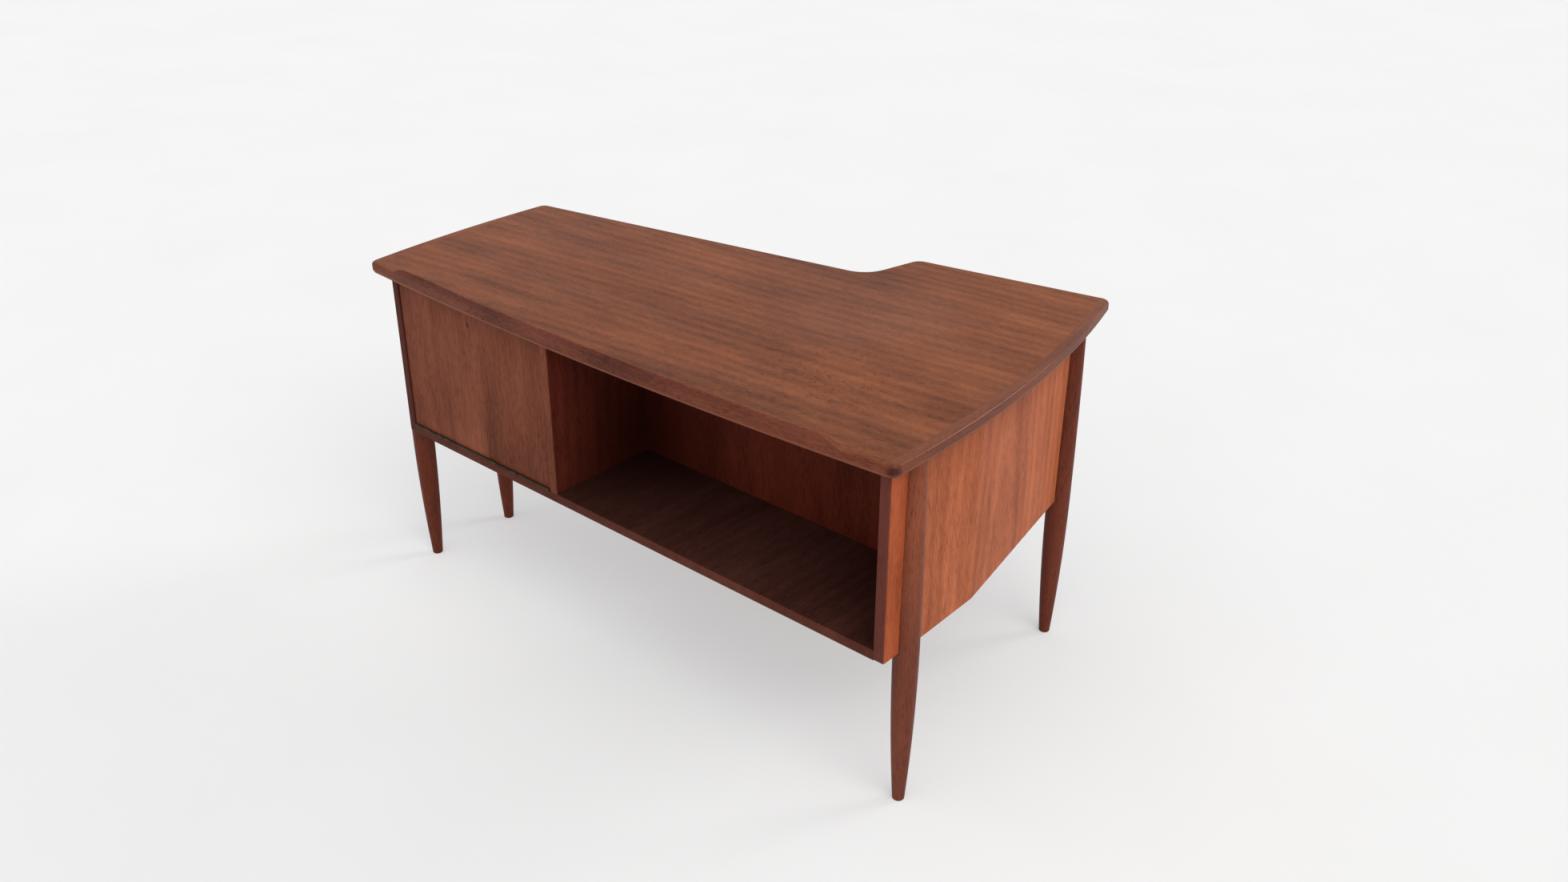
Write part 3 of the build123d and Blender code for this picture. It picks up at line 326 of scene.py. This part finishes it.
def teak(name, grain, tones, seed, slant=0.0, heart=(0.0, 0.0, 0.0), figure=0.5, ring_pitch=0.028,
         bands=0.14, fleck=0.0, blotch=0.3, roughness=0.48, shine=0.04, wear_and_highlight=0.35, worn_spot=None,
         painted_sheen_spot=None, lighter_spots=(), rear_face=None, dark_spot=None, painted_shade_above=None, edging=None):
    """Oiled teak. tones are the dark, middle and light colours; figure is how bold the rings show, bands how
    bold the fine stripes are, and fleck how far short flecks take the place of long dashes.

    rear_face gives the face at the rear its own tones, and from and to which y they take over: a real edging on
    the shelf board and the divider, painted shade on the right edge strip.
    dark_spot is a place, with the radii within which the wood goes dark and beyond which it does not: dark end
    grain at the top's near corner, painted shade in the shelf's inner corner and the keyhole.
    painted_shade_above is from and to which height the wood gets darker as painted shade, and by what its colour
    is multiplied there.
    edging is for pieces whose edges are rounded already: by what their flank's colour is multiplied, a painted
    shade, and how much smoother the rounding is; their underside gets a painted reflection of the floor. Other
    pieces get softened arrises, painted paler for wear and a highlight.
    """
    dark, _, light = tones
    pale = tuple(PALE * c for c in light)
    deep = tuple(DEEP * c for c in dark)
    t = material_tree(name)
    space = swaying(t, grain_space(t, grain, slant, heart), seed)
    kinds = ("broad", "cloud", "streak", "dash", "patch")
    broad, cloud, streak, dash, patch = (pattern(t, space, kind, seed) for kind in kinds)
    pore = pattern(t, space, "pore", seed + PORE_SEED)
    rings = ring_figure(t, space, ring_pitch, seed)

    noises = [(broad, BROAD_SHARE), (cloud, CLOUD_SHARE), (streak, bands), (dash, DASH_SHARE - 0.5 * fleck),
              (rings, RING_SHARE * figure)]
    if fleck > 0.0:
        noises.append((pattern(t, space, "fleck", seed), fleck))
    tone = t.varied(MIDDLE_TONE, *noises)
    colour = t.ramp(tone, list(zip(TONE_STOPS, tones)))
    # The rear face's own tones: real edging on the shelf board and the divider, painted shade on the right edge
    # strip.
    if rear_face:
        rear_tones, start, end = rear_face
        there = t.rise(t.axis(t.place(), "Y"), start, end, "SMOOTHSTEP")
        colour = t.mix(there, colour, t.ramp(tone, list(zip(TONE_STOPS, rear_tones))))
    pores = t.math("MULTIPLY", t.ramp(pore, PORE_STOPS), t.ramp(patch, PORE_THICKNESS))
    colour = t.mix(t.math("MULTIPLY", pores, PORE_DEPTH), colour, deep)
    colour = t.tint(blotch, colour, t.ramp(patch, BLOTCH_STOPS))

    if worn_spot:
        colour = worn(t, colour, worn_spot, pale, deep)
    # Painted sheen: a pale bluish reflection mixed into the colour round a spot on the top.
    if painted_sheen_spot:
        painted_sheen = t.math("MULTIPLY", near(t, painted_sheen_spot, *PAINTED_SHEEN_RADII), t.ramp(patch, PAINTED_SHEEN_STOPS))
        colour = t.mix(painted_sheen, colour, PAINTED_SHEEN)
    # Lighter round spots: on the top they vary its tone, on the near leg they are painted light.
    for spot in lighter_spots:
        colour = t.tint(near(t, spot, *LIGHTER_RADII), colour, LIGHTER_TINT)
    # Painted shade: darker towards a height, under the top's overhang and along the lip's crest.
    if painted_shade_above:
        low, high, shade = painted_shade_above
        colour = t.tint(t.rise(t.axis(t.place(), "Z"), low, high), colour, shade)
    # Dark round a spot: the top's dark end grain at its near corner, painted shade in the shelf's inner corner
    # and the keyhole.
    if dark_spot:
        colour = t.mix(t.math("MULTIPLY", near(t, *dark_spot), DARK_SPOT_DEPTH), colour, deep)

    gloss = t.varied(roughness, *zip((patch, streak), GLOSS_SHARES))
    relief = {"Height": t.weighted(*zip((streak, dash, pores), RELIEF_SHARES)), **RELIEF}
    if edging:
        colour, gloss = edged(t, colour, gloss, light, *edging)
    else:
        colour, relief["Normal"] = rubbed_and_highlit(t, colour, patch, wear_and_highlight, pale)
    normal = t.add("Bump", relief).outputs["Normal"]
    inputs = {"Base Color": colour, "Roughness": gloss, "Specular IOR Level": shine, "Normal": normal}
    return t.finish(t.add("BsdfPrincipled", inputs))


def metal(name, clean, tarnish, roughness, amount):
    """Brushed metal with tarnish in patches."""
    t = material_tree(name)
    patch = t.noise(t.place(), *TARNISH_NOISE)
    brush = pattern(t, t.place(), "brush", 0.0)
    moved = TARNISH_MOVE * amount
    cover = t.ramp(patch, [(TARNISH_FROM - moved, 0.0), (TARNISH_TO - moved, 1.0)])
    colour = t.mix(cover, clean, tarnish)
    gloss = t.weighted(*zip((cover, brush), METAL_GLOSS_SHARES))
    gloss = t.math("ADD", gloss, roughness - METAL_GLOSS_OFF)
    normal = t.add("Bump", {"Height": brush, **BRUSHING}).outputs["Normal"]
    inputs = {"Base Color": colour, "Metallic": 1.0, "Roughness": gloss, "Normal": normal}
    return t.finish(t.add("BsdfPrincipled", inputs))


def tones(red, green, blue, spread):
    """Dark, middle and light wood colours round one middle colour: the darker, the redder."""
    low, high = 1.0 - spread, 1.0 + spread
    dark = (low * red, 0.92 * low * green, 0.88 * low * blue)
    light = (high * red, 1.06 * high * green, 1.10 * high * blue)
    return dark, (red, green, blue), light


TOP = tones(0.195, 0.0585, 0.0240, 0.50)
RIGHT_EDGE = tones(0.165, 0.046, 0.019, 0.34)
SIDE = tones(0.390, 0.108, 0.0455, 0.31)
STRIP = tones(0.365, 0.084, 0.031, 0.30)
# Painted shade: the left edge strip and the right strip's rear face get darker copies of the strip wood.
STRIP_IN_SHADE = tones(0.080, 0.021, 0.015, 0.26)
STRIP_REAR_SHADE = tones(0.121, 0.034, 0.0255, 0.26)
LEG = tones(0.125, 0.029, 0.0155, 0.34)
NEAR_LEG = tones(0.140, 0.0395, 0.0225, 0.38)
FLAP = tones(0.172, 0.0500, 0.0260, 0.46)
INSIDE = tones(0.108, 0.019, 0.010, 0.42)
DIVIDER = tones(0.122, 0.0235, 0.0140, 0.42)
SHELF = tones(0.060, 0.021, 0.016, 0.42)
SHELF_EDGE = tones(0.100, 0.028, 0.017, 0.30)
OAK = tones(0.500, 0.275, 0.120, 0.24)

# Angle of the drawer pedestal and of the desk's front edge, in degrees about Z
PEDESTAL_TURN = 9.3

# Depth, as two values of y, of the edging on the box's rear face and of the edge strips' rounded arris
REAR = 0.3717
VENEER = (REAR - 0.0012, REAR - 0.0008)
ARRIS = (REAR - 0.0038, REAR - 0.0008)

# Painted shade: heights between which the sides darken under the top's overhang, and the lip towards its crest
OVERHANG_SHADE = (0.600, 0.705, (0.72, 0.70, 0.66))
CREST_SHADE = (0.7203, 0.7220, (0.84, 0.81, 0.90))

# Dark places: dark end grain at the top's corner nearest to the camera; painted shade in the shelf's inner
# corner and in the keyhole
NEAR_CORNER = ((-0.678, 0.394, 0.706), 0.006, 0.020)
SHELF_CORNER_SHADE = ((0.150, 0.120, 0.400), 0.0, 0.36)
KEYHOLE_SHADE = ((0.3917, 0.3612, 0.643), 0.0055, 0.0092)

# Wood that several pieces share. The veneer of the top runs out over the lippings with its wear, its painted
# sheen and its lighter places.
TOP_FIGURE = dict(grain="x", tones=TOP, seed=2.1, slant=4.0, heart=(0.3, -1.1, 0.0), figure=0.5, fleck=0.30,
                  blotch=0.55, shine=0.08, worn_spot=(-0.40, 0.22, 0.72), painted_sheen_spot=(-0.28, -0.06, 0.72),
                  lighter_spots=((-0.50, -0.20, 0.72), (-0.60, 0.25, 0.72)))
# Painted shade on the flanks of the lippings on the user's side.
USER_LIPPING = dict(TOP_FIGURE, edging=((0.75, 0.72, 0.72), 0.05))
# Painted shade on the sides under the top's overhang.
OUTSIDE = dict(grain="z", tones=SIDE, bands=0.26, painted_shade_above=OVERHANG_SHADE)
ROUND_LEG = dict(grain="z", tones=LEG, figure=0.2, roughness=0.44, shine=0.06)
RUNNER = dict(grain="y", tones=OAK, slant=PEDESTAL_TURN, figure=0.2)

WOOD = {
    "top_panel": dict(TOP_FIGURE, edging=((1.0, 1.0, 1.0), 0.0)),
    # Painted shade on the back lipping's flank and along its crest; dark end grain at the near corner.
    "lipping_back": dict(TOP_FIGURE, edging=((0.84, 0.77, 1.00), 0.0), dark_spot=NEAR_CORNER,
                         painted_shade_above=CREST_SHADE),
    "lipping_left": dict(USER_LIPPING, grain="y"),
    # Painted shade on the right lipping's flank.
    "lipping_right": dict(TOP_FIGURE, grain="y", tones=RIGHT_EDGE, blotch=0.2, shine=0.16,
                          edging=((0.85, 0.78, 0.80), 0.22), dark_spot=NEAR_CORNER),
    "lipping_front": USER_LIPPING,
    "lipping_wing_front": USER_LIPPING,
    "lipping_notch": USER_LIPPING,
    # Painted shade in the shelf's inner corner, on the bottom board, divider and knee panel.
    "bottom_board": dict(grain="y", tones=SHELF, figure=0.3, rear_face=(SHELF_EDGE, *VENEER),
                         dark_spot=SHELF_CORNER_SHADE),
    "left_side": OUTSIDE,
    "right_side": OUTSIDE,
    # Painted shade: the left strip dark all over, the right strip darker on its rear face.
    "left_edge_strip": dict(grain="z", tones=STRIP_IN_SHADE, figure=0.2),
    "right_edge_strip": dict(grain="z", tones=STRIP, figure=0.2, rear_face=(STRIP_REAR_SHADE, *ARRIS)),
    "divider": dict(grain="z", tones=DIVIDER, rear_face=(FLAP, *VENEER), dark_spot=SHELF_CORNER_SHADE),
    "knee_panel": dict(grain="z", tones=INSIDE, bands=0.24, dark_spot=SHELF_CORNER_SHADE),
    "carcass_top": dict(grain="x", tones=INSIDE),
    # Strongly paler arrises here: a painted highlight along the crease of the side.
    "pedestal_outer_side": dict(OUTSIDE, figure=0.7, wear_and_highlight=0.8),
    "pedestal_inner_side": dict(grain="z", tones=SIDE),
    "pedestal_bottom": dict(grain="x", tones=INSIDE),
    "pedestal_top": dict(grain="x", tones=INSIDE),
    # Painted shade in the keyhole.
    "bar_flap": dict(grain="z", tones=FLAP, heart=(0.355, 0.36, 0.36), figure=0.9, ring_pitch=0.05,
                     bands=0.22, blotch=0.2, dark_spot=KEYHOLE_SHADE),
    "leg_back_left": ROUND_LEG,
    "leg_front_left": ROUND_LEG,
    # Painted light: the upper part of the near leg made lighter, four spots on top of one another.
    "leg_back_right": dict(ROUND_LEG, tones=NEAR_LEG, lighter_spots=((-0.64, 0.33, 0.62),) * 4),
    "leg_front_right": ROUND_LEG,
    "runners_outer": RUNNER,
    "runners_inner": RUNNER,
}
for number in (1, 2, 3):
    stem = f"drawer_{number}_"
    WOOD[stem + "front"] = dict(grain="x", tones=FLAP, slant=PEDESTAL_TURN, figure=0.7)
    WOOD[stem + "pull"] = dict(grain="x", tones=LEG, slant=PEDESTAL_TURN, figure=0.2)
    for side in ("outer_side", "inner_side"):
        WOOD[stem + side] = dict(grain="y", tones=OAK, slant=PEDESTAL_TURN, figure=0.4)
    WOOD[stem + "back"] = dict(grain="x", tones=OAK, slant=PEDESTAL_TURN, figure=0.4)
    WOOD[stem + "bottom"] = dict(grain="x", tones=OAK, slant=PEDESTAL_TURN, figure=0.5)

BRASS = metal("dull_brass", (0.080, 0.056, 0.030), (0.030, 0.022, 0.014), 0.50, 0.75)
CASE = metal("lock_brass", (0.50, 0.315, 0.115), (0.22, 0.130, 0.050), 0.38, 0.4)
NICKEL = metal("nickel", (0.50, 0.48, 0.45), (0.25, 0.23, 0.20), 0.30, 0.35)
STEEL = metal("screw_steel", (0.42, 0.41, 0.40), (0.18, 0.16, 0.14), 0.36, 0.45)
METAL = {"hinge_fixed_leaf": BRASS, "hinge_flap_leaf": BRASS, "hinge_pin": BRASS, "lock_case": CASE}


def dress():
    """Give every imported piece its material."""
    for index, (name, piece) in enumerate(sorted(NODES.items())):
        if name in WOOD:
            material = teak("wood_" + name, **{"seed": PIECE_SEED * index, **WOOD[name]})
        elif name in METAL:
            material = METAL[name]
        else:
            material = STEEL if name.endswith("screws") else NICKEL
        piece.data.materials.clear()
        piece.data.materials.append(material)


def camera():
    """The photograph's camera."""
    yaw, pitch, roll = (math.radians(a) for a in (CAMERA_YAW, CAMERA_PITCH, CAMERA_ROLL))
    look = Vector((math.sin(yaw) * math.cos(pitch), -math.cos(yaw) * math.cos(pitch), -math.sin(pitch)))
    right = look.cross(Vector((0, 0, 1))).normalized()
    up = right.cross(look)
    right, up = right * math.cos(roll) + up * math.sin(roll), up * math.cos(roll) - right * math.sin(roll)
    data = bpy.data.cameras.new("photo_camera")
    data.sensor_width = SENSOR_WIDTH
    data.lens = FOCAL_PIXELS / IMAGE_WIDTH * SENSOR_WIDTH
    data.shift_x = -CENTRE_OFF_X / IMAGE_WIDTH
    data.shift_y = CENTRE_OFF_Y / IMAGE_WIDTH
    data.clip_end = CAMERA_REACH
    place = bpy.data.objects.new("photo_camera", data)
    turn = Matrix((right, up, -look)).transposed().to_4x4()
    place.matrix_world = Matrix.Translation(CAMERA_PLACE) @ turn
    bpy.context.scene.collection.objects.link(place)
    bpy.context.scene.camera = place


def floor():
    """Wide round pale floor, matt, which is seen a little lighter than the lamps make it."""
    turns = [2.0 * math.pi * k / FLOOR_CORNERS for k in range(FLOOR_CORNERS)]
    rim = [(FLOOR_RADIUS * math.cos(a), FLOOR_RADIUS * math.sin(a), 0.0) for a in turns]
    mesh = bpy.data.meshes.new("floor")
    mesh.from_pydata(rim, [], [tuple(range(FLOOR_CORNERS))])
    plate = bpy.data.objects.new("floor", mesh)
    bpy.context.scene.collection.objects.link(plate)
    t = material_tree("pale_floor")
    colour = t.ramp(t.noise(t.place(), *FLOOR_NOISE), FLOOR_COLOURS)
    inputs = {"Base Color": colour, "Roughness": FLOOR_ROUGHNESS, "Specular IOR Level": 0.0}
    matt = t.add("BsdfPrincipled", inputs)
    bright = t.add("Emission", {"Color": FLOOR_BRIGHTNESS, "Strength": 1.0})
    share = t.math("MULTIPLY", t.seen(), FLOOR_BRIGHT_SHARE)
    mixed = t.add("MixShader", {0: share, 1: matt.outputs[0], 2: bright.outputs[0]})
    mesh.materials.append(t.finish(mixed))


def sun(name, power, spread, way, colour):
    """Soft distant lamp that shines along way, spread degrees wide."""
    data = bpy.data.lights.new(name, "SUN")
    data.energy = power
    data.angle = math.radians(spread)
    data.color = colour
    lamp = bpy.data.objects.new(name, data)
    lamp.rotation_euler = Vector(way).to_track_quat("-Z", "Y").to_euler()
    bpy.context.scene.collection.objects.link(lamp)


def light():
    """White room: even light, and lamps above the camera, at photo right and behind the desk."""
    t = Tree(bpy.data.worlds.new("white_room"), "World")
    lit = t.add("Background", {"Color": ROOM_COLOUR, "Strength": ROOM_LIGHT})
    shown = t.add("Background", {"Color": ROOM_SEEN, "Strength": 1.0})
    mixed = t.add("MixShader", {0: t.seen(), 1: lit.outputs[0], 2: shown.outputs[0]})
    bpy.context.scene.world = t.finish(mixed)
    for lamp in LAMPS:
        sun(*lamp)


dress()
camera()
floor()
light()
bpy.context.scene.view_settings.view_transform = "Standard"
